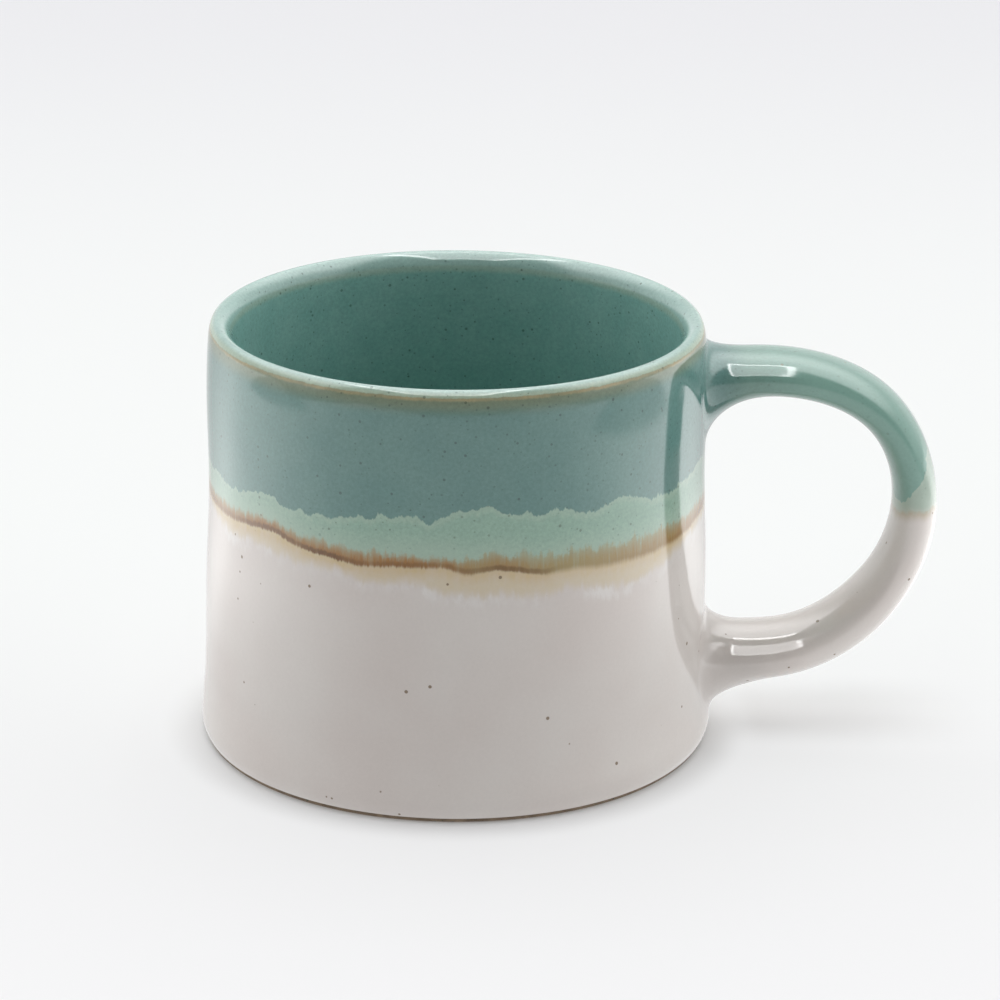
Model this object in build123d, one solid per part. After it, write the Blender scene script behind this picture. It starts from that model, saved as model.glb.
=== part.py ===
from build123d import *
import os

# Stoneware mug. Millimetres, +Z up. The origin is the centre of the foot ring's resting plane,
# on the cup's turning axis. +X points to the handle. Sizes are measured over the glaze unless
# a name says otherwise.

# Cup
mug_height = 83.0
lip_radius = 47.2           # outside radius just under the lip
lip_thickness = 4.4         # glazed thickness of the rounded lip
wall_points = (             # (radius, height) of the outer wall, from the glaze's edge to the lip
    (49.7, 1.0),
    (50.1, 2.8),
    (49.4, 7.5),
    (48.5, 16.0),
    (48.25, 38.0),
    (47.6, 54.0),
    (47.65, 67.0),
    (lip_radius, mug_height - lip_thickness / 2),
)
floor_height = 6.6
inner_base_radius = 43.4    # inside radius where the wall meets the floor's corner
inner_corner_radius = 9.0

# Foot
foot_outer_radius = 49.0
foot_inner_radius = 43.0
foot_recess = 1.8           # depth of the hollow inside the foot ring
foot_slope = 0.8            # how far that hollow's side leans in
glaze_edge_height = 1.0     # the glaze stops here, above the bare clay foot

# Handle: its centreline in the XZ plane, with both ends inside the cup's wall
handle_route = (
    (45.0, 71.6),
    (64.0, 72.4),
    (81.1, 65.0),
    (88.3, 47.6),
    (82.0, 28.4),
    (66.0, 17.0),
    (56.0, 15.6),
    (45.5, 15.4),
)
handle_sections = (         # (share of the route, width, thickness) of the oval strap
    (0.0, 17.6, 8.8),
    (0.25, 17.4, 8.2),
    (0.55, 17.2, 8.2),
    (0.8, 18.0, 9.2),
    (1.0, 19.0, 10.0),
)
upper_fillet = 4.6          # radius of the luting slip round each end of the handle, on the clay
lower_fillet = 3.6

# Glaze coats
glaze_thickness = 0.4
lip_line = 80.6             # the liner coat comes over the lip and ends here
teal_line = 59.0            # lower edge of the plain teal coat
brown_line = 50.0           # lower edge of the teal dip, where it lies over the lower coat
handle_line = 47.0          # the same edge on the handle
handle_coat_start = 54.0    # X at which the handle's own coats begin
base_coat_radius = 42.0     # coat inside the foot ring

# Half size of the blocks that divide the coats, larger than the mug
beyond = 150.0


def cup_solid(skin):
    """The cup turned about Z, with skin of glaze over its clay. Its seam is opposite the handle."""
    inset = glaze_thickness - skin
    outer = [(radius - inset, height) for radius, height in wall_points]
    lip_height = mug_height - lip_thickness / 2
    lip_centre = lip_radius - lip_thickness / 2
    lip_inside = lip_radius - lip_thickness + inset
    floor = floor_height - inset
    wall_inside = inner_base_radius + inset
    corner = inner_corner_radius + inset
    recess_radius = foot_inner_radius - foot_slope
    with BuildSketch(Plane.XZ) as section:
        with BuildLine():
            Polyline((0, foot_recess), (recess_radius, foot_recess), (foot_inner_radius, 0),
                     (foot_outer_radius, 0), outer[0])
            Spline(*outer)
            ThreePointArc(outer[-1], (lip_centre, mug_height - inset), (lip_inside, lip_height))
            Line((lip_inside, lip_height), (wall_inside, floor + corner))
            RadiusArc((wall_inside, floor + corner), (wall_inside - corner, floor), corner)
            Polyline((wall_inside - corner, floor), (0, floor), (0, foot_recess))
        make_face()
    return revolve(section.sketch, Axis.Z).solid().rotate(Axis.Z, 180)


def strap_solid(skin):
    """The handle's strap swept along its whole route, with skin of glaze over its clay."""
    inset = glaze_thickness - skin
    points = [Vector(x, 0, z) for x, z in handle_route]
    route = Spline(*points, tangents=((1, 0, 0.1), (-1, 0, 0)))
    sections = []
    for share, width, thickness in handle_sections:
        across = Plane(route @ share, x_dir=(0, 1, 0), z_dir=route % share)
        sections.append(across * Ellipse(width / 2 - inset, thickness / 2 - inset))
    return sweep(sections, path=route, multisection=True).solid()


def meeting_edge(solid, above, below):
    """The closed edge where the strap enters the cup's wall, between two heights."""
    outside = lip_radius - lip_thickness
    return [
        edge for edge in solid.edges()
        if edge.geom_type == GeomType.BSPLINE
        and edge.bounding_box().min.X > outside
        and edge.bounding_box().min.Z > above
        and edge.bounding_box().max.Z < below
    ]


def whole_mug(cup, strap, skin):
    """Cup and strap as one envelope, filleted where they meet, with skin of glaze over the clay."""
    middle = mug_height / 2
    mug = (cup + strap).solid()
    mug = mug.fillet(upper_fillet - skin, meeting_edge(mug, middle, lip_line))
    return mug.fillet(lower_fillet - skin, meeting_edge(mug, glaze_edge_height, middle))


def slab(bottom, top):
    """A block that holds everything between two heights."""
    return Pos(0, 0, (bottom + top) / 2) * Box(2 * beyond, 2 * beyond, top - bottom)


def clay_parts():
    """Cup, handle and the two rings of luting slip that fillet one to the other."""
    cup = cup_solid(0)
    strap = strap_solid(0)
    mug = whole_mug(cup, strap, 0)
    handle = (strap - cup).solid()
    slip = (mug - cup - strap).solids().sort_by(Axis.Z)
    parts = {
        "cup_body": cup,
        "handle": handle,
        "lower_slip_joint": slip[0],
        "upper_slip_joint": slip[-1],
    }
    return parts, mug


def glaze_parts(clay_mug):
    """The coats over the clay, divided where the colour changes and where the handle begins."""
    envelope = whole_mug(cup_solid(glaze_thickness), strap_solid(glaze_thickness), glaze_thickness)
    coat = envelope - clay_mug - slab(-beyond, glaze_edge_height)
    handle_side = Pos(handle_coat_start + beyond, 0, 0) * Box(2 * beyond, 2 * beyond, 2 * beyond)
    middle_radius = lip_radius - lip_thickness / 2
    core = Pos(0, 0, mug_height / 2) * Cylinder(middle_radius, 2 * mug_height)
    wall_coat = coat - handle_side
    outer_coat = wall_coat - core
    handle_coat = coat & handle_side
    inner_half = wall_coat & core
    liner = inner_half + (outer_coat & slab(lip_line, beyond))
    return {
        "liner_glaze": liner.solid(),
        "upper_glaze": (outer_coat & slab(teal_line, lip_line)).solid(),
        "overlap_glaze": (outer_coat & slab(brown_line, teal_line)).solid(),
        "lower_glaze": (outer_coat & slab(glaze_edge_height, brown_line)).solid(),
        "handle_upper_glaze": (handle_coat & slab(handle_line, beyond)).solid(),
        "handle_lower_glaze": (handle_coat & slab(-beyond, handle_line)).solid(),
    }


def base_glaze():
    """Thin coat on the underside, inside the foot ring and clear of the resting plane."""
    return Pos(0, 0, foot_recess - glaze_thickness / 2) * Cylinder(base_coat_radius, glaze_thickness)


parts, clay_mug = clay_parts()
parts.update(glaze_parts(clay_mug))
parts["base_glaze"] = base_glaze()

os.makedirs("parts", exist_ok=True)
for name, solid in parts.items():
    solid.label = name
    export_step(solid, f"parts/{name}.step")
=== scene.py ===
import math

import bpy
import numpy as np
from mathutils import Matrix, Vector


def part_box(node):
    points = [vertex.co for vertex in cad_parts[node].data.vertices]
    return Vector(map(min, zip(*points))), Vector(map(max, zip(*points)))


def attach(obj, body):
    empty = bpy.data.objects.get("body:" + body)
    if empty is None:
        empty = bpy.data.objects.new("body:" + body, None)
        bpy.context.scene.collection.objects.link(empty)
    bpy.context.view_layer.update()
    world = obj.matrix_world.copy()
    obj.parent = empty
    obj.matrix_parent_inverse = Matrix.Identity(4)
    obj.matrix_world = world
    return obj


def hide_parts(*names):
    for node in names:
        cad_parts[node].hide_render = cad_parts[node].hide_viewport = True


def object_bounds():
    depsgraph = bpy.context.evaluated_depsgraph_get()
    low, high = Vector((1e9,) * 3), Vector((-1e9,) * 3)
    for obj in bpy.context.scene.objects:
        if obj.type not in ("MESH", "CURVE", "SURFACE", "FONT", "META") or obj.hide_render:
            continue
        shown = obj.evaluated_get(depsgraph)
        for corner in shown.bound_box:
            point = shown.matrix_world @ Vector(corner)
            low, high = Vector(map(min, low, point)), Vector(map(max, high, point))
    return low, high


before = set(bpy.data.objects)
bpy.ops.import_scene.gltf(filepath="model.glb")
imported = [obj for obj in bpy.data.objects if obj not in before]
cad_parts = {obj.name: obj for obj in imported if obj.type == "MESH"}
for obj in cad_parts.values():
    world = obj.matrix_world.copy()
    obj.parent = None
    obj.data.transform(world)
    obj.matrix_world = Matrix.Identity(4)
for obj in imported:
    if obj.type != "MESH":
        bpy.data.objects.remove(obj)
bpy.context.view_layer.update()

# Stoneware mug with two overlapping glazes. Shapes are worked out in millimetres in the CAD frame:
# +Z up the cup's axis, +X to the handle, the foot on Z = 0. Blender gets them in metres.
MM = 0.001


def millimetres(corner):
    return np.array(corner) / MM


# Sizes from the frame
mug_height = millimetres(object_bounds()[1])[2]
flare_radius = millimetres(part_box("lower_glaze")[1])[1]
glaze_edge = millimetres(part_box("lower_glaze")[0])[2]
brown_line = millimetres(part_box("overlap_glaze")[0])[2]
teal_line = millimetres(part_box("upper_glaze")[0])[2]
lip_line = millimetres(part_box("upper_glaze")[1])[2]
handle_line = millimetres(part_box("handle_upper_glaze")[0])[2]
coat = 0.4
under_coat = coat + 0.02    # how far the clay lies below the glaze's surface
luting_depth = 0.6          # how far the fillets of clay go in below the glaze
corner_drop = 1.35          # from the top of the lip down to its outer corner
far_off = 30.0              # a distance from a glaze line at which its colours no longer change

# Outline of the glazed cup as (radius, height): foot, outer wall, lip, inner wall and floor
outer_outline = (
    (flare_radius - 0.4, glaze_edge),
    (flare_radius, 2.8),
    (49.4, 7.5),
    (48.5, 16.0),
    (48.25, 38.0),
    (47.6, 54.0),
    (47.65, 67.0),
    (47.45, 75.0),
    (47.1, lip_line - 0.6),
)
lip_outline = (
    (46.8, mug_height - corner_drop),
    (46.2, mug_height - 0.35),
    (45.4, mug_height),
    (44.4, mug_height - 0.35),
    (43.5, mug_height - 1.25),
    (42.95, mug_height - 2.6),
    (42.75, mug_height - 4.6),
)
inner_outline = (
    (42.75, 73.0),
    (42.9, 56.0),
    (43.1, 36.0),
    (43.4, 19.0),
    (42.6, 12.4),
    (39.9, 8.4),
    (34.0, 6.6),
    (18.0, 6.3),
    (0.0, 6.4),
)
# Bare foot ring and the recess inside it, from the axis out
foot_outline = (
    (0.5, 1.8),
    (42.6, 1.8),
    (43.2, 1.5),
    (43.8, 0.4),
    (44.4, 0.05),
    (45.0, 0.0),
    (48.0, 0.0),
    (48.7, 0.1),
    (49.1, 0.45),
    (49.25, 1.0),
)
columns = 480               # divisions round the cup
row_step = 0.7              # spacing of the wall's rows
# Soft dents left by the potter's hand: angle and height of the middle, half width, half height, depth
wall_dents = (
    (-128, 30, 9, 10, 0.18),
    (-146, 22, 8, 13, 0.08),
    (-72, 24, 13, 12, 0.12),
    (-30, 30, 12, 16, 0.15),
    (70, 34, 14, 12, 0.2),
    (140, 26, 11, 14, 0.2),
    (180, 42, 16, 14, 0.45),
)

# Heights of the two glaze lines round the cup, as (angle in degrees from the handle, height)
teal_edge = (
    (-180, 57.6), (-160, 56.6), (-149, 56.6), (-136, 58.6), (-129, 57.3), (-116, 57.4), (-107, 59.0),
    (-100, 59.2), (-95, 58.2), (-90, 60.0), (-84, 61.0), (-75, 59.4), (-68, 60.0), (-59, 57.8), (-53, 59.4),
    (-37, 57.2), (-15, 58.4), (10, 57.0), (35, 59.6), (60, 58.0), (85, 60.4), (110, 57.8), (140, 59.4),
)
rust_edge = (
    (-180, 51.2), (-162, 50.4), (-150, 50.6), (-135, 51.8), (-127, 50.6), (-117, 49.8), (-110, 49.2),
    (-102, 49.8), (-92, 49.8), (-88, 49.1), (-80, 49.4), (-72, 48.2), (-63, 48.6), (-54, 47.8), (-43, 47.4),
    (-32, 47.4), (-17, 48.1), (10, 49.4), (40, 50.6), (70, 49.0), (100, 50.4), (130, 49.2), (155, 50.6),
)
# The brown line round the cup: angle, how rusty it is (0 olive, 1 rust), how far its fringe climbs,
# how dark its lower edge is, and how deep the tan halo hangs below it
line_looks = (
    (-168, 0.55, 3.2, 0.1, 1.5),
    (-151, 0.75, 3.2, 0.3, 3.6),
    (-138, 1.0, 2.8, 0.8, 4.4),
    (-129, 0.85, 3.2, 0.8, 4.4),
    (-118, 0.95, 3.3, 1.0, 3.2),
    (-112, 1.0, 3.8, 0.5, 3.4),
    (-103, 1.0, 3.3, 0.3, 4.0),
    (-97, 0.9, 2.8, 0.25, 4.8),
    (-91, 0.7, 2.7, 0.35, 5.4),
    (-86, 0.3, 4.0, 0.6, 5.2),
    (-79, 0.45, 4.0, 1.0, 5.4),
    (-73, 0.25, 4.2, 0.9, 5.4),
    (-66, 0.1, 4.8, 0.15, 4.8),
    (-57, 0.15, 4.8, 0.0, 5.2),
    (-48, 0.3, 4.8, 0.0, 5.6),
    (-36, 0.4, 4.8, 0.0, 4.0),
    (-25, 0.6, 4.2, 0.0, 2.6),
    (-10, 0.75, 3.2, 0.0, 2.2),
    (20, 0.7, 2.8, 0.3, 2.6),
    (50, 0.9, 2.6, 0.5, 2.8),
    (80, 1.0, 2.4, 0.7, 3.2),
    (110, 0.6, 3.4, 0.3, 4.6),
    (140, 0.4, 3.0, 0.2, 3.8),
    (160, 0.6, 3.0, 0.15, 2.2),
)

# Handle: centreline in the XZ plane and its oval sections as (share of the route, half width, half thickness)
handle_route = (
    (45.0, 71.6),
    (64.0, 72.4),
    (81.1, 65.0),
    (88.3, 47.6),
    (82.0, 28.4),
    (66.0, 17.0),
    (56.0, 15.6),
    (45.5, 15.4),
)
handle_sections = (
    (0.0, 8.8, 4.4),
    (0.25, 8.7, 4.1),
    (0.55, 8.6, 4.3),
    (0.68, 8.8, 4.75),
    (0.78, 9.0, 5.0),
    (0.92, 9.4, 5.5),
    (1.0, 9.5, 5.8),
)
handle_columns = 128
handle_rows = 240
join_rows = 18
# The oval's power at shares of the route: above 2 it has flatter faces
section_power = ((0.0, 2.2), (0.55, 2.2), (0.85, 2.0), (1.0, 2.0))
# Blend of each join onto the wall: length along the strap and along the wall, above, beside and below
upper_join = {"above": (9.0, 2.6), "beside": (6.5, 3.4), "below": (22.0, 9.0)}
lower_join = {"above": (9.0, 5.0), "beside": (6.5, 3.6), "below": (16.0, 6.0)}


def smooth_curve(points, count):
    """Points spaced evenly along the natural cubic spline through the given points."""
    points = np.asarray(points, float)
    knots = np.concatenate([[0.0], np.cumsum(np.linalg.norm(np.diff(points, axis=0), axis=1))])
    step = np.diff(knots)
    system = np.eye(len(points))
    wanted = np.zeros_like(points)
    slope = np.diff(points, axis=0) / step[:, None]
    for i in range(1, len(points) - 1):
        system[i, i - 1:i + 2] = step[i - 1], 2 * (step[i - 1] + step[i]), step[i]
        wanted[i] = 6 * (slope[i] - slope[i - 1])
    bend = np.linalg.solve(system, wanted)
    t = np.linspace(0.0, knots[-1], 20 * count)
    k = np.clip(np.searchsorted(knots, t, side="right") - 1, 0, len(step) - 1)
    h = step[k][:, None]
    a = (knots[k + 1] - t)[:, None] / h
    b = 1 - a
    dense = (a * points[k] + b * points[k + 1]
             + ((a ** 3 - a) * bend[k] + (b ** 3 - b) * bend[k + 1]) * h ** 2 / 6)
    length = np.concatenate([[0.0], np.cumsum(np.linalg.norm(np.diff(dense, axis=0), axis=1))])
    even = np.linspace(0.0, length[-1], count)
    return np.stack([np.interp(even, length, dense[:, i]) for i in range(dense.shape[1])], axis=1)


cup_outline = smooth_curve(outer_outline + lip_outline + inner_outline, 4000)
top_row = int(np.argmax(cup_outline[:, 1]))
outer_half = cup_outline[:top_row]
cup_length = np.concatenate([[0.0], np.cumsum(np.linalg.norm(np.diff(cup_outline, axis=0), axis=1))])
lip_corner = np.interp(mug_height - corner_drop, outer_half[:, 1], cup_length[:top_row])


def wobble(angle, height):
    """How far the hand-thrown wall stands out from a true turned surface."""
    left = np.maximum(0, -np.cos(angle)) ** 2
    foot = np.exp(-((height - 2.8) / 5.0) ** 2)
    waves = (
        0.10 * np.sin(2 * angle + 0.4)
        + 0.06 * np.sin(3 * angle - 1.1 + height / 22)
        + 0.04 * np.sin(5 * angle + height / 9)
        + 0.02 * np.sin(height / 1.15 + 0.8 * np.sin(angle)) * np.exp(-((height - 12) / 14) ** 2)
    )
    dents = 0.0
    for at, up, wide, tall, deep in wall_dents:
        across = np.degrees(np.angle(np.exp(1j * (angle - np.radians(at))))) / wide
        dents = dents + deep * np.exp(-across ** 2 - ((height - up) / tall) ** 2)
    return waves - dents - (0.25 + 0.6 * left) * foot


def wall_radius(angle, height):
    """Radius of the outer glaze at an angle and height."""
    return np.interp(height, outer_half[:, 1], outer_half[:, 0]) + wobble(angle, height)


def around(points, table, column=1):
    """The table's value at each point's angle round the cup, on a smooth closed curve through the table."""
    angle = np.degrees(np.arctan2(points[..., 1], points[..., 0]))
    at, value = np.array(table, float)[:, (0, column)].T
    at = np.concatenate([at[-2:] - 360, at, at[:3] + 360])
    value = np.concatenate([value[-2:], value, value[:3]])
    slope = np.gradient(value, at)
    k = np.clip(np.searchsorted(at, angle, side="right") - 1, 0, len(at) - 2)
    step = at[k + 1] - at[k]
    t = (angle - at[k]) / step
    return ((2 * t ** 3 - 3 * t ** 2 + 1) * value[k] + (t ** 3 - 2 * t ** 2 + t) * step * slope[k]
            + (3 * t ** 2 - 2 * t ** 3) * value[k + 1] + (t ** 3 - t ** 2) * step * slope[k + 1])


def turned_grid(outline, floor_spiral=0.0):
    """Rows of points round the axis for each (radius, height) of an outline, with the wall's wobble."""
    angle = np.linspace(0, 2 * np.pi, columns, endpoint=False)[None, :]
    radius, height = outline[:, 0][:, None], outline[:, 1][:, None]
    share = np.clip(radius / 30.0, 0, 1)
    r = radius + wobble(angle, height) * share
    z = height + floor_spiral * np.sin(radius * 1.4 - angle) * np.exp(-((height - 6.5) / 0.8) ** 2)
    return np.stack([r * np.cos(angle), r * np.sin(angle), z + 0 * angle], axis=2)


def grid_normals(grid):
    """Unit normals of a grid whose columns close on themselves, pointing away from its shell."""
    along = np.gradient(grid, axis=0)
    across = np.roll(grid, -1, axis=1) - np.roll(grid, 1, axis=1)
    normal = np.cross(across, along)
    length = np.linalg.norm(normal, axis=2, keepdims=True)
    return normal / np.maximum(length, 1e-9)


def make_piece(name, vertices, faces, values, normals=None):
    """A mesh object in metres, with named values on its points."""
    mesh = bpy.data.meshes.new(name)
    mesh.from_pydata((vertices * MM).tolist(), [], faces)
    mesh.shade_smooth()
    for key, data in values.items():
        layer = mesh.attributes.new(key, "FLOAT", "POINT")
        layer.data.foreach_set("value", np.asarray(data, np.float32).ravel())
    if normals is not None:
        mesh.normals_split_custom_set_from_vertices(normals.tolist())
    piece = bpy.data.objects.new(name, mesh)
    bpy.context.scene.collection.objects.link(piece)
    return piece


def shell(name, grid, thickness, values):
    """A closed coat from a grid and the same grid moved in along its normals.

    The grid's first and last rows only steer the normals, so neighbouring coats shade as one surface.
    """
    normals = grid_normals(grid)[1:-1]
    grid = grid[1:-1]
    rows, count = grid.shape[:2]
    inside = grid - normals * thickness
    vertices = np.concatenate([grid.reshape(-1, 3), inside.reshape(-1, 3)])
    index = np.arange(rows * count).reshape(rows, count)
    after = np.roll(index, -1, axis=1)
    lower, upper = index[:-1], index[1:]
    lower_after, upper_after = after[:-1], after[1:]
    outside = np.stack([lower, lower_after, upper_after, upper], axis=2).reshape(-1, 4)
    inner = outside[:, ::-1] + rows * count
    first = np.stack([index[0], index[0] + rows * count, after[0] + rows * count, after[0]], axis=1)
    last = np.stack([after[-1], after[-1] + rows * count, index[-1] + rows * count, index[-1]], axis=1)
    faces = np.concatenate([outside, inner, first, last]).tolist()
    doubled = {key: np.tile(data[1:-1].ravel(), 2) for key, data in values.items()}
    both = np.concatenate([normals.reshape(-1, 3), -normals.reshape(-1, 3)])
    return make_piece(name, vertices, faces, doubled, both)


def glaze_values(grid):
    """Signed distances of the points above the two glaze lines, and how the rust line looks there."""
    height = grid[..., 2]
    return {
        "above_teal": height - around(grid, teal_edge),
        "above_rust": height - around(grid, rust_edge),
        "rust": around(grid, line_looks, 1),
        "fringe": around(grid, line_looks, 2),
        "dark": np.clip(around(grid, line_looks, 3), 0, 1),
        "halo": around(grid, line_looks, 4),
        "from_corner": np.minimum(height - mug_height + corner_drop, 0),
    }


def wall_band(name, bottom, top):
    """The outer glaze between two heights."""
    rows = max(4, round((top - bottom) / row_step))
    step = (top - bottom) / (rows - 1)
    height = np.linspace(bottom - step, top + step, rows + 2)
    outline = np.stack([np.interp(height, outer_half[:, 1], outer_half[:, 0]), height], axis=1)
    if bottom == glaze_edge:
        outline[0] = outline[1] - (0.5, 0.35)
        outline[1:5, 0] -= np.array([0.35, 0.12, 0.03, 0.0])
    grid = turned_grid(outline)
    return shell(name, grid, coat, glaze_values(grid))


def liner(name):
    """The inside glaze: from the lip line outside, over the lip, down the inner wall and across the floor."""
    start = np.interp(lip_line, outer_half[:, 1], cup_length[:top_row])
    end = cup_length[-1] - 0.3
    over_lip = start + np.linspace(-0.26, 9.0, 36, endpoint=False)
    down_wall = np.arange(start + 9.0, end, 0.8)
    at = np.concatenate([over_lip, down_wall, [end, end + 0.2]])
    outline = np.stack([np.interp(at, cup_length, cup_outline[:, i]) for i in range(2)], axis=1)
    grid = turned_grid(outline, floor_spiral=0.12)
    values = glaze_values(grid)
    inside = (at > cup_length[top_row])[:, None] & np.ones(grid.shape[:2], bool)
    for key in ("above_teal", "above_rust"):
        values[key] = np.where(inside, far_off, values[key])
    values["from_corner"] = (at - lip_corner)[:, None] + np.zeros(grid.shape[:2])
    return shell(name, grid, coat, values)


def clay_cup(name):
    """The clay under the glaze: the glazed outline moved in, with the bare foot ring closing it below."""
    at = np.concatenate([np.arange(0.4, cup_length[-1] - 0.8, 1.2), [cup_length[-1] - 0.4]])
    outline = np.stack([np.interp(at, cup_length, cup_outline[:, i]) for i in range(2)], axis=1)
    glazed = turned_grid(outline)
    rows = np.concatenate([turned_grid(np.array(foot_outline)), glazed - grid_normals(glazed) * under_coat])
    normals = grid_normals(rows)
    index = np.arange(rows.shape[0] * columns).reshape(rows.shape[0], columns)
    after = np.roll(index, -1, axis=1)
    faces = np.stack([index[:-1], after[:-1], after[1:], index[1:]], axis=2).reshape(-1, 4).tolist()
    below, above = index.size, index.size + 1
    faces += [(below, b, a) for a, b in zip(index[0], after[0])]
    faces += [(above, a, b) for a, b in zip(index[-1], after[-1])]
    centres = [(0, 0, rows[0, :, 2].mean()), (0, 0, rows[-1, :, 2].mean())]
    vertices = np.concatenate([rows.reshape(-1, 3), centres])
    normals = np.concatenate([normals.reshape(-1, 3), [(0, 0, -1), (0, 0, 1)]])
    return make_piece(name, vertices, faces, {}, normals)


def strap_point(share, phi):
    """Glaze surface of the handle at a share of its route and an angle round its section."""
    route = strap_line
    centre = np.stack([np.interp(share, strap_share, route[:, i]) for i in range(2)], axis=-1)
    along = np.stack([np.interp(share, strap_share, strap_tangent[:, i]) for i in range(2)], axis=-1)
    along /= np.linalg.norm(along, axis=-1, keepdims=True)
    half_width = np.interp(share, section_share, section_width)
    half_thick = np.interp(share, section_share, section_thick)
    power = 2 / np.interp(share, *np.transpose(section_power))
    side = np.sign(np.cos(phi)) * np.abs(np.cos(phi)) ** power * half_width
    out = np.sign(np.sin(phi)) * np.abs(np.sin(phi)) ** power * half_thick
    # the outward direction is the route's direction turned a quarter turn, away from the loop
    reach = centre[..., 0] - along[..., 1] * out
    return np.stack([reach, side, centre[..., 1] + along[..., 0] * out], axis=-1)


strap_line = smooth_curve(handle_route, 2000)
strap_share = np.linspace(0, 1, len(strap_line))
strap_tangent = np.gradient(strap_line, axis=0)
section_curve = smooth_curve(handle_sections, 200)
section_share, section_width, section_thick = section_curve.T


def meeting_share(phi, start, end):
    """Where the strap's surface line at phi meets the wall, by halving between two shares."""
    inside, outside = np.full_like(phi, start), np.full_like(phi, end)
    for _ in range(40):
        middle = (inside + outside) / 2
        p = strap_point(middle, phi)
        angle = np.arctan2(p[:, 1], p[:, 0])
        buried = np.hypot(p[:, 0], p[:, 1]) < wall_radius(angle, p[:, 2])
        inside = np.where(buried, middle, inside)
        outside = np.where(buried, outside, middle)
    return (inside + outside) / 2


def on_wall(angle, height, sink=0.0):
    radius = wall_radius(angle, height) - sink
    return np.stack([radius * np.cos(angle), radius * np.sin(angle), height], axis=-1)


def by_side(join, index, up):
    """A join's length round the section, from its values above, beside and below. up is 1 above, -1 below."""
    above, beside, below = (join[key][index] for key in ("above", "beside", "below"))
    return beside + np.maximum(up, 0) ** 2 * (above - beside) + np.maximum(-up, 0) ** 2 * (below - beside)


def join_grid(phi, meet, join, direction):
    """Rows that leave the wall tangentially and run onto the strap. direction is +1 at the route's start."""
    p = strap_point(meet, phi)
    angle = np.arctan2(p[:, 1], p[:, 0])
    height = p[:, 2]
    up = np.sin(phi) * direction
    reach = by_side(join, 0, up)
    spread = by_side(join, 1, up)
    route_length = np.linalg.norm(np.diff(strap_line, axis=0), axis=1).sum()
    start_share = meet + direction * reach / route_length
    strap_end = strap_point(start_share, phi)
    strap_step = strap_point(start_share + direction * 0.002, phi) - strap_end
    strap_step /= np.linalg.norm(strap_step, axis=1, keepdims=True)
    # away from the strap over the wall: sideways and up or down, like the section's outward normal
    _, half_width, half_thick = handle_sections[0]
    section = np.stack([np.cos(phi) / half_width, direction * np.sin(phi) / half_thick], axis=1)
    section /= np.linalg.norm(section, axis=1, keepdims=True)
    radius = wall_radius(angle, height)

    def wall_at(distance, sink=0.0):
        return on_wall(angle + section[:, 0] * distance / radius, height + section[:, 1] * distance, sink)

    wall_end = wall_at(spread)
    wall_step = wall_at(spread + 0.05) - wall_at(spread - 0.05)
    wall_step /= np.linalg.norm(wall_step, axis=1, keepdims=True)
    hold = 0.62     # how long the blend keeps each end's direction
    first = wall_end - wall_step * (spread * hold)[:, None]
    second = strap_end - strap_step * (reach * hold)[:, None]
    rows = [wall_at(spread + 2.0, 0.08), wall_at(spread + 1.4, 0.05), wall_at(spread + 0.7, 0.02)]
    for t in np.linspace(0, 1, join_rows, endpoint=False):
        rows.append((1 - t) ** 3 * wall_end + 3 * t * (1 - t) ** 2 * first
                    + 3 * t ** 2 * (1 - t) * second + t ** 3 * strap_end)
    return np.stack(rows), start_share


def handle_grid():
    phi = np.linspace(0, 2 * np.pi, handle_columns, endpoint=False)
    top, top_share = join_grid(phi, meeting_share(phi, 0.0, 0.25), upper_join, 1)
    low, low_share = join_grid(phi, meeting_share(phi, 1.0, 0.75), lower_join, -1)
    middle = []
    for t in np.linspace(0, 1, handle_rows):
        middle.append(strap_point(top_share * (1 - t) + low_share * t, phi))
    return np.concatenate([top, np.stack(middle), low[::-1]]), phi


def handle_values(grid, phi):
    """The dip's lines on the handle, lower where it faces the cup, and painted light: its faces towards the
    front and upwards made lighter.
    """
    _, facing, upward = np.moveaxis(grid_normals(grid), 2, 0)
    upward = np.clip(upward, 0, 1) ** 2
    front = np.clip(-facing, 0, 1) * (1 - upward)
    outer_part = np.clip((grid[..., 0] - 56.0) / 12.0, 0, 1)
    outer_side = 0.5 + 0.5 * np.sin(phi)[None, :]
    height = grid[..., 2]
    return {
        "above_teal": height - (handle_line + 1.0 + 11.0 * outer_side ** 1.5),
        "above_rust": height - (handle_line - 0.3 + 0.8 * outer_side),
        "rust": 0 * height,
        "fringe": 0 * height + 0.3,
        "dark": 0 * height,
        "halo": 3.2 + 2.6 * outer_side,
        "from_corner": 0 * height - far_off,
        "on_handle": np.clip((grid[..., 0] - 50.0) / 5.0, 0, 1),
        # painted light: lighter where the handle's outer part faces the front, a little lighter where it
        # faces up
        "painted_light": (0.32 * front * outer_part + 0.06 * upward) * np.clip((grid[..., 0] - 52.0) / 8.0, 0, 1),
    }


def handle_pieces():
    grid, phi = handle_grid()
    outermost = int(np.argmax(grid[..., 0].mean(axis=1)))
    rows_below = np.nonzero(grid[outermost:, :, 2].mean(axis=1) < handle_line)[0]
    cut = outermost + int(rows_below[0])
    upper, lower = grid[:cut + 2], grid[cut - 1:]
    return (
        shell("handle_teal_glaze", upper, coat, handle_values(upper, phi)),
        shell("handle_grey_glaze", lower, coat, handle_values(lower, phi)),
        luting("upper_luting", grid[:join_rows + 8]),
        luting("lower_luting", grid[-join_rows - 8:]),
    )


def luting(name, rows):
    """The fillet of clay under the glaze where an end of the strap is luted to the wall."""
    sunk = rows - grid_normals(rows) * under_coat
    return shell(name, sunk, luting_depth, {})


# Materials


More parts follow.
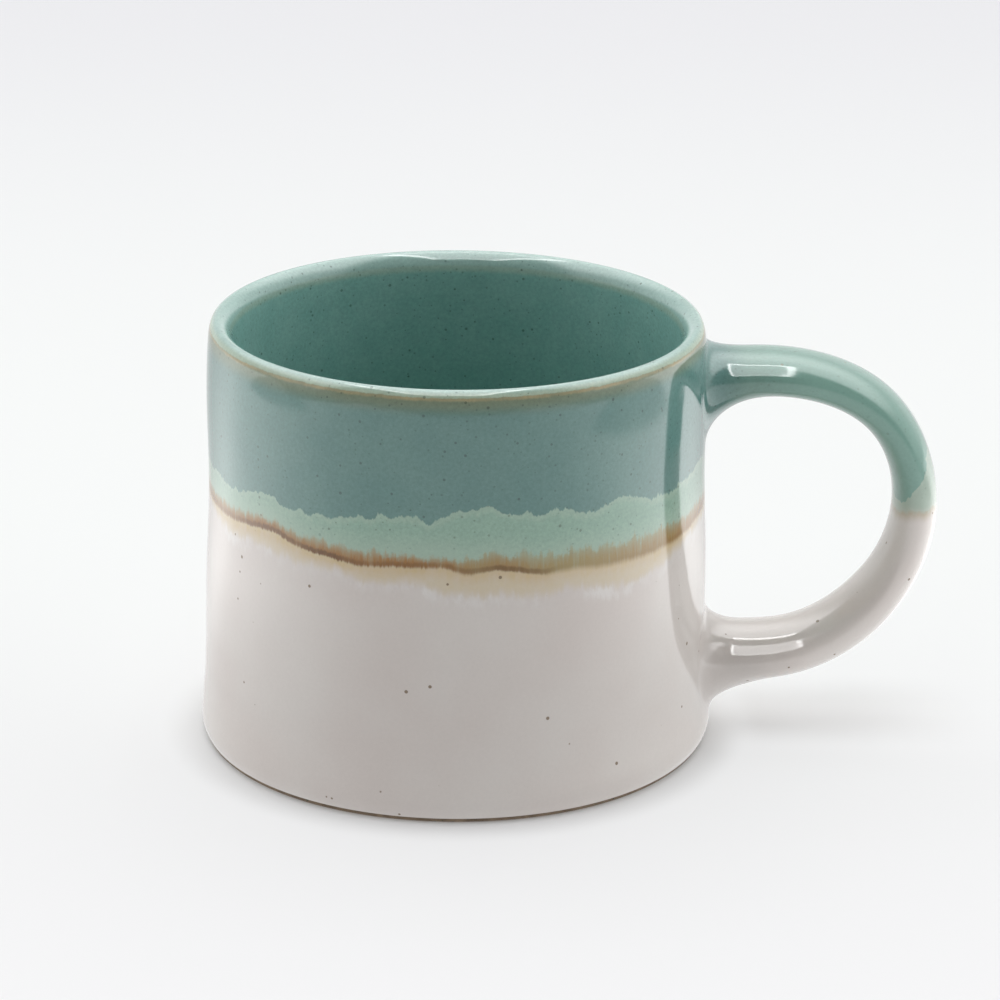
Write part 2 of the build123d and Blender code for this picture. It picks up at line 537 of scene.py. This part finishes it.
class Nodes:
    """Short ways to add nodes to a material's or world's tree."""

    def __init__(self, owner):
        owner.use_nodes = True
        self.tree = owner.node_tree
        self.tree.nodes.clear()

    def add(self, kind, settings=(), **inputs):
        node = self.tree.nodes.new(kind)
        for key, value in dict(settings).items():
            setattr(node, key, value)
        for key, value in inputs.items():
            self.feed(node.inputs[int(key[1:]) if key[0] == "_" else key.replace("_", " ")], value)
        return node

    def feed(self, socket, value):
        if isinstance(value, bpy.types.NodeSocket):
            self.tree.links.new(value, socket)
        else:
            socket.default_value = value

    def math(self, operation, first, second=0.0, third=0.0):
        return self.add("ShaderNodeMath", {"operation": operation}, _0=first, _1=second, _2=third).outputs[0]

    def times(self, first, second):
        return self.math("MULTIPLY", first, second)

    def scaled(self, value, gain, offset):
        return self.math("MULTIPLY_ADD", value, gain, offset)

    def band(self, value, low, high):
        """0 below low and 1 above high, with a soft step between. low above high turns it round."""
        node = self.add("ShaderNodeMapRange", {"interpolation_type": "SMOOTHSTEP"},
                        Value=value, From_Min=low, From_Max=high, To_Min=0.0, To_Max=1.0)
        return node.outputs[0]

    def mix(self, share, first, second):
        node = self.add("ShaderNodeMix", {"data_type": "RGBA"})
        for socket, value in ((0, share), (6, first), (7, second)):
            self.feed(node.inputs[socket], value)
        return node.outputs[2]

    def noise(self, vector, size, detail=2.0, roughness=0.5):
        """Noise about 0, roughly -1 to 1, with features of about size millimetres."""
        node = self.add("ShaderNodeTexNoise", {"noise_dimensions": "3D"}, Vector=vector,
                        Scale=1 / (size * MM), Detail=detail, Roughness=roughness)
        return self.times(self.math("SUBTRACT", node.outputs[0], 0.5), 3.0)

    def stretch(self, vector, x, y, z):
        return self.add("ShaderNodeVectorMath", {"operation": "MULTIPLY"}, _0=vector, _1=(x, y, z)).outputs[0]

    def value(self, name):
        return self.add("ShaderNodeAttribute", {"attribute_name": name}).outputs["Fac"]


def colour(red, green, blue):
    return (red, green, blue, 1.0)


teal = colour(0.103, 0.215, 0.198)
teal_light = colour(0.128, 0.245, 0.222)
teal_rim = colour(0.125, 0.205, 0.160)
# a lighter copy of the teal for the handle: painted light
handle_teal_lit = colour(0.175, 0.305, 0.258)
# the inside is the same teal glaze: lighter copies stand in for light inside the cup (painted light), a
# darker copy for the shade low inside it (painted shade)
liner_teal_lit = colour(0.180, 0.355, 0.320)
liner_mottle_lit = colour(0.210, 0.385, 0.350)
liner_teal_shaded = colour(0.120, 0.285, 0.250)
mint = colour(0.245, 0.385, 0.305)
mint_pale = colour(0.320, 0.440, 0.355)
# paler mint for the lip's top: partly thin glaze, partly a painted highlight
lip_mint_and_highlight = colour(0.310, 0.455, 0.415)
lip_pale_and_highlight = colour(0.420, 0.480, 0.340)
rust = colour(0.250, 0.105, 0.012)
rust_light = colour(0.335, 0.172, 0.048)
rust_dark = colour(0.130, 0.048, 0.002)
olive = colour(0.300, 0.245, 0.105)
olive_dark = colour(0.160, 0.090, 0.020)
tan = colour(0.555, 0.475, 0.335)
tan_deep = colour(0.520, 0.400, 0.225)
# a paler, greyer mint for the handle: painted reflection of the white surroundings
handle_mint_reflection = colour(0.330, 0.380, 0.330)
fleck_white = colour(0.670, 0.655, 0.635)
grey = colour(0.600, 0.565, 0.535)
grey_pink = colour(0.570, 0.520, 0.490)
iron = colour(0.030, 0.045, 0.035)
iron_brown = colour(0.170, 0.115, 0.065)
break_tan = colour(0.440, 0.350, 0.190)
bevel_tan = colour(0.330, 0.370, 0.255)


def specks(n, place, cell, radius, keep):
    """1 inside scattered specks of up to that radius, one in some of the cells of that size."""
    node = n.add("ShaderNodeTexVoronoi", {"feature": "F1"}, Vector=place, Scale=1 / (cell * MM))
    chance = n.add("ShaderNodeSeparateColor", _0=node.outputs["Color"]).outputs[0]
    size = n.times(radius / cell, n.band(chance, 1 - keep, 1.0))
    shown = n.math("SUBTRACT", size, node.outputs["Distance"])
    return n.band(shown, -0.05 / cell, 0.08 / cell)


class Lines:
    """The two frayed glaze lines at a point: the heights above them, their streaks, the brown one's look."""

    def __init__(self, n, place):
        upright = n.stretch(place, 1, 1, 0.12)
        self.hair = n.noise(upright, 0.5, 2.0, 0.6)
        self.streak = n.noise(upright, 1.3, 2.0, 0.6)
        self.drip = n.noise(n.stretch(place, 1, 1, 0.3), 4.5, 2.0)
        self.on_handle = n.value("on_handle")
        self.from_corner = n.value("from_corner")
        self.rust = n.value("rust")
        self.climb = n.value("fringe")
        self.dark = n.value("dark")
        self.hang = n.value("halo")

        clouds = n.math("ABSOLUTE", n.noise(n.stretch(place, 1, 1, 0.6), 5.5, 1.0))
        puffs = n.math("ABSOLUTE", n.noise(n.stretch(place, 1, 1, 0.4), 2.2, 1.0))
        above_teal = n.scaled(clouds, 1.7, n.value("above_teal"))
        above_teal = n.scaled(puffs, 0.8, above_teal)
        above_teal = n.scaled(self.hair, 0.45, above_teal)
        self.above_teal = n.math("SUBTRACT", above_teal, 0.8)

        sway = n.scaled(self.on_handle, 1.0, 0.3)
        self.above_rust = n.scaled(self.drip, sway, n.value("above_rust"))
        jag = n.times(self.hair, n.scaled(self.rust, 0.35, 0.1))
        self.ragged = n.math("ADD", self.above_rust, jag)


def dipped_twice(n, place, line, with_lip):
    """The glazes above the brown line: teal, and the mint overlap with its paler lower part."""
    teal_here = n.mix(n.band(n.noise(place, 14.0, 3.0), -0.8, 0.9), teal, teal_light)
    teal_here = n.mix(n.band(line.from_corner, -4.0, -1.0), teal_here, teal_rim)
    # painted light: the handle's teal is lighter than the wall's
    teal_here = n.mix(line.on_handle, teal_here, handle_teal_lit)
    if with_lip:
        # inside the cup: the teal lighter as painted light, and darker further down as painted shade
        mottle = n.band(n.noise(place, 6.0, 3.0), -0.9, 0.9)
        inside = n.mix(mottle, liner_teal_lit, liner_mottle_lit)
        inside = n.mix(n.band(line.from_corner, 12.0, 55.0), inside, liner_teal_shaded)
        teal_here = n.mix(n.band(line.from_corner, 2.0, 4.0), teal_here, inside)
    mint_here = n.mix(n.band(line.above_rust, 8.0, 1.5), mint, mint_pale)
    mint_here = n.mix(n.times(n.band(line.above_teal, -1.8, -0.1), 0.6), mint_here, mint_pale)
    # painted reflection: the handle's mint paled towards grey
    mint_here = n.mix(n.times(line.on_handle, 0.6), mint_here, handle_mint_reflection)
    return n.mix(n.band(line.above_teal, -0.15, 0.2), mint_here, teal_here)


def fringed(n, place, line, glaze):
    """The brown line's fringe climbs into the overlap in fine teeth, most strongly coloured low down."""
    tufts = n.noise(n.stretch(place, 1, 1, 0.3), 2.8, 2.0, 0.6)
    fuzz = n.noise(place, 1.0, 3.0, 0.7)
    top = n.scaled(tufts, 0.36, n.scaled(line.streak, 0.22, 0.82))
    top = n.times(line.climb, n.scaled(line.hair, 0.16, top))
    teeth = n.band(n.math("SUBTRACT", n.scaled(fuzz, 0.7, top), line.above_rust), -0.2, 1.2)
    low = n.band(line.above_rust, line.climb, 0.0)
    stripes = n.scaled(line.hair, 0.22, n.scaled(line.streak, 0.2, 0.95))
    tint = n.mix(line.rust, olive, rust_light)
    glaze = n.mix(n.times(low, 0.12), glaze, tint)
    glaze = n.mix(n.times(n.times(teeth, n.scaled(low, 0.65, 0.45)), stripes), glaze, tint)
    heart = n.times(n.band(line.above_rust, n.times(line.climb, 0.75), 0.2), line.rust)
    heart = n.times(heart, n.band(stripes, 0.6, 1.1))
    return n.mix(n.times(heart, 0.85), glaze, rust)


def dipped_once(n, place, line):
    """The glaze below the brown line: tan, ending in fingers with pale torn tips, then grey."""
    sink = n.times(line.above_rust, -1.0)
    fingers = n.scaled(line.streak, 0.9, n.times(line.drip, 1.1))
    fingers = n.scaled(line.hair, 0.4, fingers)
    into_grey = n.math("SUBTRACT", n.math("ADD", sink, fingers), line.hang)
    grey_here = n.mix(n.band(n.noise(place, 24.0, 2.0), -0.7, 0.8), grey_pink, grey)
    tan_here = n.mix(n.band(sink, 0.2, 3.0), tan_deep, tan)
    blotches = n.scaled(n.noise(place, 3.2, 4.0, 0.65), 0.22, n.scaled(line.streak, 0.14, 0.85))
    halo = n.times(n.band(into_grey, 0.3, -2.2), blotches)
    halo = n.times(halo, n.scaled(line.on_handle, -0.15, 1.0))
    glaze = n.mix(halo, grey_here, tan_here)
    tip = n.times(n.band(into_grey, -1.2, -0.2), n.band(into_grey, 2.2, 0.4))
    torn = n.band(n.noise(n.stretch(place, 1, 1, 0.5), 2.4, 4.0, 0.7), -0.3, 0.3)
    torn = n.times(n.times(tip, torn), n.band(n.noise(place, 9.0, 2.0), -0.6, 0.5))
    torn = n.times(torn, n.scaled(line.on_handle, -0.7, 0.7))
    return n.mix(torn, glaze, fleck_white)


def along_the_line(n, line, below, above):
    """The glazes below and above the brown line, which has a narrow dark core in places."""
    soft = n.scaled(n.math("MAXIMUM", line.dark, line.rust), 1.1, -1.4)
    low_end = n.math("SUBTRACT", n.math("MINIMUM", soft, -0.25), n.times(line.on_handle, 1.3))
    high_end = n.scaled(line.on_handle, 1.2, 0.3)
    glaze = n.mix(n.band(line.ragged, low_end, high_end), below, above)
    from_core = n.math("ABSOLUTE", n.math("SUBTRACT", line.ragged, 0.3))
    core = n.times(n.band(from_core, 0.75, 0.2), n.scaled(line.dark, 0.8, n.times(line.rust, 0.25)))
    core = n.times(core, n.band(line.streak, -1.6, 0.4))
    return n.mix(core, glaze, n.mix(line.rust, olive_dark, rust_dark))


def thin_on_the_lip(n, place, line, glaze, with_lip):
    """Tan where the glaze runs thin under the lip's outer corner, pale above it, tan again on the bevel. The
    pale top is partly where the glaze thins over the lip and partly a painted highlight.
    """
    corner = n.scaled(n.noise(place, 1.4, 4.0, 0.65), 0.22, line.from_corner)
    up_to_corner = n.band(corner, 0.45, 0.15)
    edge = n.times(n.band(corner, -0.8, -0.05), up_to_corner)
    patchy = n.scaled(n.noise(place, 7.0, 3.0), 0.25, 0.6)
    fading = n.times(n.band(corner, -3.2, -0.2), up_to_corner)
    glaze = n.mix(n.math("MAXIMUM", n.times(edge, patchy), n.times(fading, 0.22)), glaze, break_tan)
    if with_lip:
        # the lip's top: paler mint, partly thin glaze and partly a painted highlight
        top = n.times(n.band(corner, 0.1, 0.45), n.band(corner, 7.4, 5.0))
        pale = n.times(top, n.band(corner, 1.8, 0.2))
        bevel = n.times(n.band(corner, 5.4, 6.0), n.band(corner, 7.4, 6.4))
        glaze = n.mix(n.times(top, 0.9), glaze, lip_mint_and_highlight)
        glaze = n.mix(n.times(pale, 0.7), glaze, lip_pale_and_highlight)
        glaze = n.mix(n.times(bevel, 0.3), glaze, bevel_tan)
    return glaze


def speckled(n, place, line, glaze):
    """Iron specks, many and dark in the teal, few and brown in the grey, over a fine grain, with the handle's
    painted light added.
    """
    in_teal = n.times(n.band(line.above_rust, 1.0, 6.0), n.scaled(line.on_handle, -0.6, 1.0))
    fine = n.times(specks(n, place, 1.2, 0.24, 0.9), n.times(in_teal, 0.35))
    small = n.times(specks(n, place, 1.9, 0.30, 0.85), n.times(in_teal, 0.5))
    brown = n.times(specks(n, place, 4.4, 0.37, 0.85), n.scaled(in_teal, -0.9, 0.9))
    for amount, tint in ((fine, iron), (small, iron), (brown, iron_brown)):
        glaze = n.mix(amount, glaze, tint)
    grain = n.noise(place, 0.65, 3.0, 0.75)
    shade = n.scaled(grain, n.scaled(in_teal, 0.17, 0.03), 1.0)
    # add the handle's painted light: lighter on its faces towards the front and upwards
    shade = n.math("ADD", shade, n.value("painted_light"))
    return n.add("ShaderNodeVectorMath", {"operation": "SCALE"}, _0=glaze, Scale=shade).outputs[0]


def glaze_colour(n, place, with_lip):
    """Teal, mint overlap, brown line, tan halo and grey, laid out by the points' distances to the lines."""
    line = Lines(n, place)
    above = fringed(n, place, line, dipped_twice(n, place, line, with_lip))
    glaze = along_the_line(n, line, dipped_once(n, place, line), above)
    glaze = thin_on_the_lip(n, place, line, glaze, with_lip)
    return speckled(n, place, line, glaze)


def glaze_material(name, with_lip=False):
    material = bpy.data.materials.new(name)
    n = Nodes(material)
    place = n.add("ShaderNodeTexCoord").outputs["Object"]
    base = glaze_colour(n, place, with_lip)
    peel = n.noise(place, 3.5, 2.0)
    bump = n.add("ShaderNodeBump", Strength=0.25, Distance=0.02 * MM, Height=peel)
    rough = n.scaled(n.noise(place, 5.0, 2.0), 0.015, 0.085)
    shader = n.add("ShaderNodeBsdfPrincipled", Base_Color=base, Roughness=rough, IOR=1.6,
                   Normal=bump.outputs[0])
    output = n.add("ShaderNodeOutputMaterial")
    n.feed(output.inputs["Surface"], shader.outputs[0])
    return material


def clay_material(name):
    """Bare fired stoneware: sandy brown with grog and iron specks."""
    material = bpy.data.materials.new(name)
    n = Nodes(material)
    place = n.add("ShaderNodeTexCoord").outputs["Object"]
    body = n.mix(n.band(n.noise(place, 2.5, 4.0, 0.65), -0.8, 0.8),
                 colour(0.10, 0.070, 0.045), colour(0.20, 0.145, 0.095))
    body = n.mix(specks(n, place, 1.6, 0.3, 0.8), body, iron)
    bump = n.add("ShaderNodeBump", Strength=0.6, Distance=0.08 * MM, Height=n.noise(place, 0.5, 4.0, 0.7))
    shader = n.add("ShaderNodeBsdfPrincipled", Base_Color=body, Roughness=0.85, Normal=bump.outputs[0])
    output = n.add("ShaderNodeOutputMaterial")
    n.feed(output.inputs["Surface"], shader.outputs[0])
    return material


def stand_for(piece, node, material):
    piece.data.materials.append(material)
    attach(piece, "root")
    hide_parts(node)


wall_glaze = glaze_material("dipped_glaze")
lip_glaze = glaze_material("liner_glaze", with_lip=True)
clay = clay_material("bare_stoneware")

stand_for(wall_band("grey_wall_glaze", glaze_edge, brown_line), "lower_glaze", wall_glaze)
stand_for(wall_band("overlap_band_glaze", brown_line, teal_line), "overlap_glaze",
          wall_glaze)
stand_for(wall_band("teal_wall_glaze", teal_line, lip_line), "upper_glaze", wall_glaze)
stand_for(liner("inside_and_lip_glaze"), "liner_glaze", lip_glaze)
stand_for(clay_cup("clay_cup"), "cup_body", clay)
teal_part, grey_part, upper_luting, lower_luting = handle_pieces()
stand_for(teal_part, "handle_upper_glaze", wall_glaze)
stand_for(grey_part, "handle_lower_glaze", wall_glaze)
stand_for(upper_luting, "upper_slip_joint", clay)
stand_for(lower_luting, "lower_slip_joint", clay)
for node, material in (("handle", clay), ("base_glaze", wall_glaze)):
    for material_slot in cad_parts[node].material_slots:
        material_slot.material = material


# Studio: a white sheet under soft light from above, behind and both sides; the room in front is dark

floor_albedo = 0.76


def studio_floor():
    reach = 4000.0
    corners = np.array([(-reach, -reach, 0), (reach, -reach, 0), (reach, reach, 0), (-reach, reach, 0)])
    floor = make_piece("studio_floor", corners, [(0, 1, 2, 3)], {})
    material = bpy.data.materials.new("white_sheet")
    n = Nodes(material)
    place = n.add("ShaderNodeTexCoord").outputs["Object"]
    parts = n.add("ShaderNodeSeparateXYZ", _0=place).outputs
    distance = n.add("ShaderNodeVectorMath", {"operation": "LENGTH"}, _0=place).outputs["Value"]
    # the sheet as lit: brightest just behind the cup, falling off towards the back
    near = n.band(parts[1], -0.10, 0.12)
    far = n.band(parts[1], 0.16, 0.75)
    paper = n.mix(near, colour(0.945, 0.945, 0.953), colour(0.940, 0.955, 0.950))
    paper = n.mix(far, paper, colour(0.838, 0.838, 0.862))
    white = n.add("ShaderNodeBsdfDiffuse", Color=n.add(
        "ShaderNodeVectorMath", {"operation": "SCALE"}, _0=paper, Scale=floor_albedo).outputs[0])
    # a glow in the sheet's own colour, mixed in below: painted light
    even = n.add("ShaderNodeEmission", Color=paper, Strength=1.0)
    rays = n.add("ShaderNodeLightPath").outputs
    # the sheet partly glows in its own colour rather than being lit, which evens out its shading; less of it
    # glows under the handle and round the foot, a painted deepening of the shadow there, so the shadow is
    # softest all round and firmest under the handle
    under_handle = n.times(n.band(parts[0], 0.050, 0.061), n.band(parts[0], 0.110, 0.084))
    beside = n.math("ABSOLUTE", n.math("SUBTRACT", parts[1], 0.007))
    under_handle = n.times(under_handle, n.band(beside, 0.020, 0.004))
    at_foot = n.times(n.band(distance, 0.058, 0.050), rays["Is Camera Ray"])
    lifted = n.scaled(rays["Is Diffuse Ray"], 0.2, 0.65)
    lifted = n.scaled(under_handle, -0.65, lifted)
    lifted = n.math("MAXIMUM", n.scaled(at_foot, -0.5, lifted), 0.0)
    direct = n.add("ShaderNodeMixShader", _0=lifted, _1=white.outputs[0], _2=even.outputs[0])
    # what the glossy glaze sees of it is a glow, not the lit sheet, a painted reflection: brighter towards
    # the side lights, with a dark room beyond its edges
    forward = n.math("DIVIDE", parts[1], n.math("MAXIMUM", distance, 0.001))
    sides = n.times(n.band(forward, -1.0, 0.1), n.band(forward, 0.85, 0.4))
    open_floor = n.band(distance, 0.06, 0.16)
    lit = n.scaled(n.times(sides, open_floor), 1.5, 0.88)
    off_axis = n.math("ABSOLUTE", parts[0])
    gap = n.times(n.band(parts[1], -0.19, -0.15), n.band(parts[1], 0.09, 0.05))
    off_middle = n.math("ABSOLUTE", n.math("ADD", parts[0], 0.04))
    gap = n.times(n.times(gap, n.band(off_middle, 0.305, 0.335)), 0.45)
    beyond = n.times(n.band(off_axis, 0.43, 0.47), n.band(parts[1], -0.06, -0.12))
    beyond = n.times(n.math("MAXIMUM", beyond, n.band(parts[1], -0.53, -0.56)), 0.65)
    lit = n.times(lit, n.math("SUBTRACT", 1.0, n.math("MAXIMUM", gap, beyond)))
    seen = n.add("ShaderNodeEmission", Color=colour(1.0, 1.0, 1.0), Strength=lit)
    both = n.add("ShaderNodeMixShader", _0=rays["Is Glossy Ray"], _1=direct.outputs[0], _2=seen.outputs[0])
    output = n.add("ShaderNodeOutputMaterial")
    n.feed(output.inputs["Surface"], both.outputs[0])
    floor.data.materials.append(material)


def studio_world():
    world = bpy.data.worlds.new("studio")
    bpy.context.scene.world = world
    n = Nodes(world)
    direction = n.add("ShaderNodeTexCoord").outputs["Generated"]
    parts = n.add("ShaderNodeSeparateXYZ", _0=direction).outputs
    x, y, z = parts[0], parts[1], parts[2]
    mirrored = n.add("ShaderNodeLightPath").outputs["Is Glossy Ray"]
    # walls of light to both sides and behind
    at_side = n.band(n.math("ABSOLUTE", x), 0.5, 0.8)
    behind = n.times(n.band(y, 0.0, 0.5), n.math("SUBTRACT", 1.0, at_side))
    side_light = n.scaled(n.band(x, -0.1, 0.1), 0.4, 1.8)
    walls = n.times(n.times(at_side, n.band(y, -0.75, -0.35)), side_light)
    walls = n.scaled(behind, 1.9, walls)
    # the glaze mirrors them dimmer near the floor and brighter overhead
    around_back = n.scaled(n.math("ABSOLUTE", x), 0.9, y)
    gloss_walls = n.scaled(n.band(z, 0.35, 0.75), 2.5, 0.95)
    gloss_walls = n.scaled(n.band(around_back, 0.10, 0.45), gloss_walls, 0.05)
    # an overhead panel with a bright rectangular rim
    over = n.math("MAXIMUM", z, 0.05)
    off_side = n.math("SUBTRACT", n.math("ABSOLUTE", n.math("ADD", n.math("DIVIDE", x, over), 0.07)), 0.29)
    # the glaze mirrors it shorter than the light it gives: its far ends are too dim to show
    off_end = n.math("ABSOLUTE", n.math("ADD", n.math("DIVIDE", y, over), n.scaled(mirrored, -0.05, 0.30)))
    off_end = n.math("SUBTRACT", off_end, n.scaled(mirrored, -0.33, 0.93))
    off = n.math("MAXIMUM", off_side, off_end)
    up = n.band(z, 0.1, 0.2)
    panel = n.times(n.band(off, 0.01, -0.01), up)
    rim = n.times(n.band(n.math("ABSOLUTE", off), 0.035, 0.02), up)
    light = n.math("ADD", walls, n.times(mirrored, n.math("SUBTRACT", gloss_walls, walls)))
    panel_light = n.scaled(mirrored, 3.0, 1.3)
    light = n.math("ADD", n.times(light, n.math("SUBTRACT", 1.0, panel)),
                   n.times(panel, panel_light))
    light = n.scaled(rim, n.scaled(mirrored, 5.5, 3.8), light)
    background = n.add("ShaderNodeBackground", Color=colour(1.0, 1.0, 1.0), Strength=light)
    output = n.add("ShaderNodeOutputWorld")
    n.feed(output.inputs["Surface"], background.outputs[0])


def studio_camera():
    """Camera in front of the cup, handle to its right."""
    distance, elevation = 758.7, math.radians(19.91)
    pan, tilt, roll = math.radians(-0.681), math.radians(0.329), math.radians(0.606)
    target = Vector((0, 0, mug_height / 2))
    back = Vector((0, -math.cos(elevation), math.sin(elevation)))
    forward = -back
    right = forward.cross(Vector((0, 0, 1))).normalized()
    turn = Matrix.Rotation(pan, 3, "Z")
    forward, right = turn @ forward, turn @ right
    forward = Matrix.Rotation(tilt, 3, right) @ forward
    up = right.cross(forward)
    spin = Matrix.Rotation(-roll, 3, forward)
    right, up = spin @ right, spin @ up
    data = bpy.data.cameras.new("camera")
    data.lens = 141.5
    data.sensor_width = 36.0
    data.clip_start, data.clip_end = 0.05, 20.0
    camera = bpy.data.objects.new("camera", data)
    bpy.context.scene.collection.objects.link(camera)
    place = (target + back * distance) * MM
    camera.matrix_world = Matrix.Translation(place) @ Matrix((right, up, -forward)).transposed().to_4x4()
    bpy.context.scene.camera = camera


studio_floor()
studio_world()
studio_camera()
view = bpy.context.scene.view_settings
view.view_transform = "Standard"
view.look = "None"
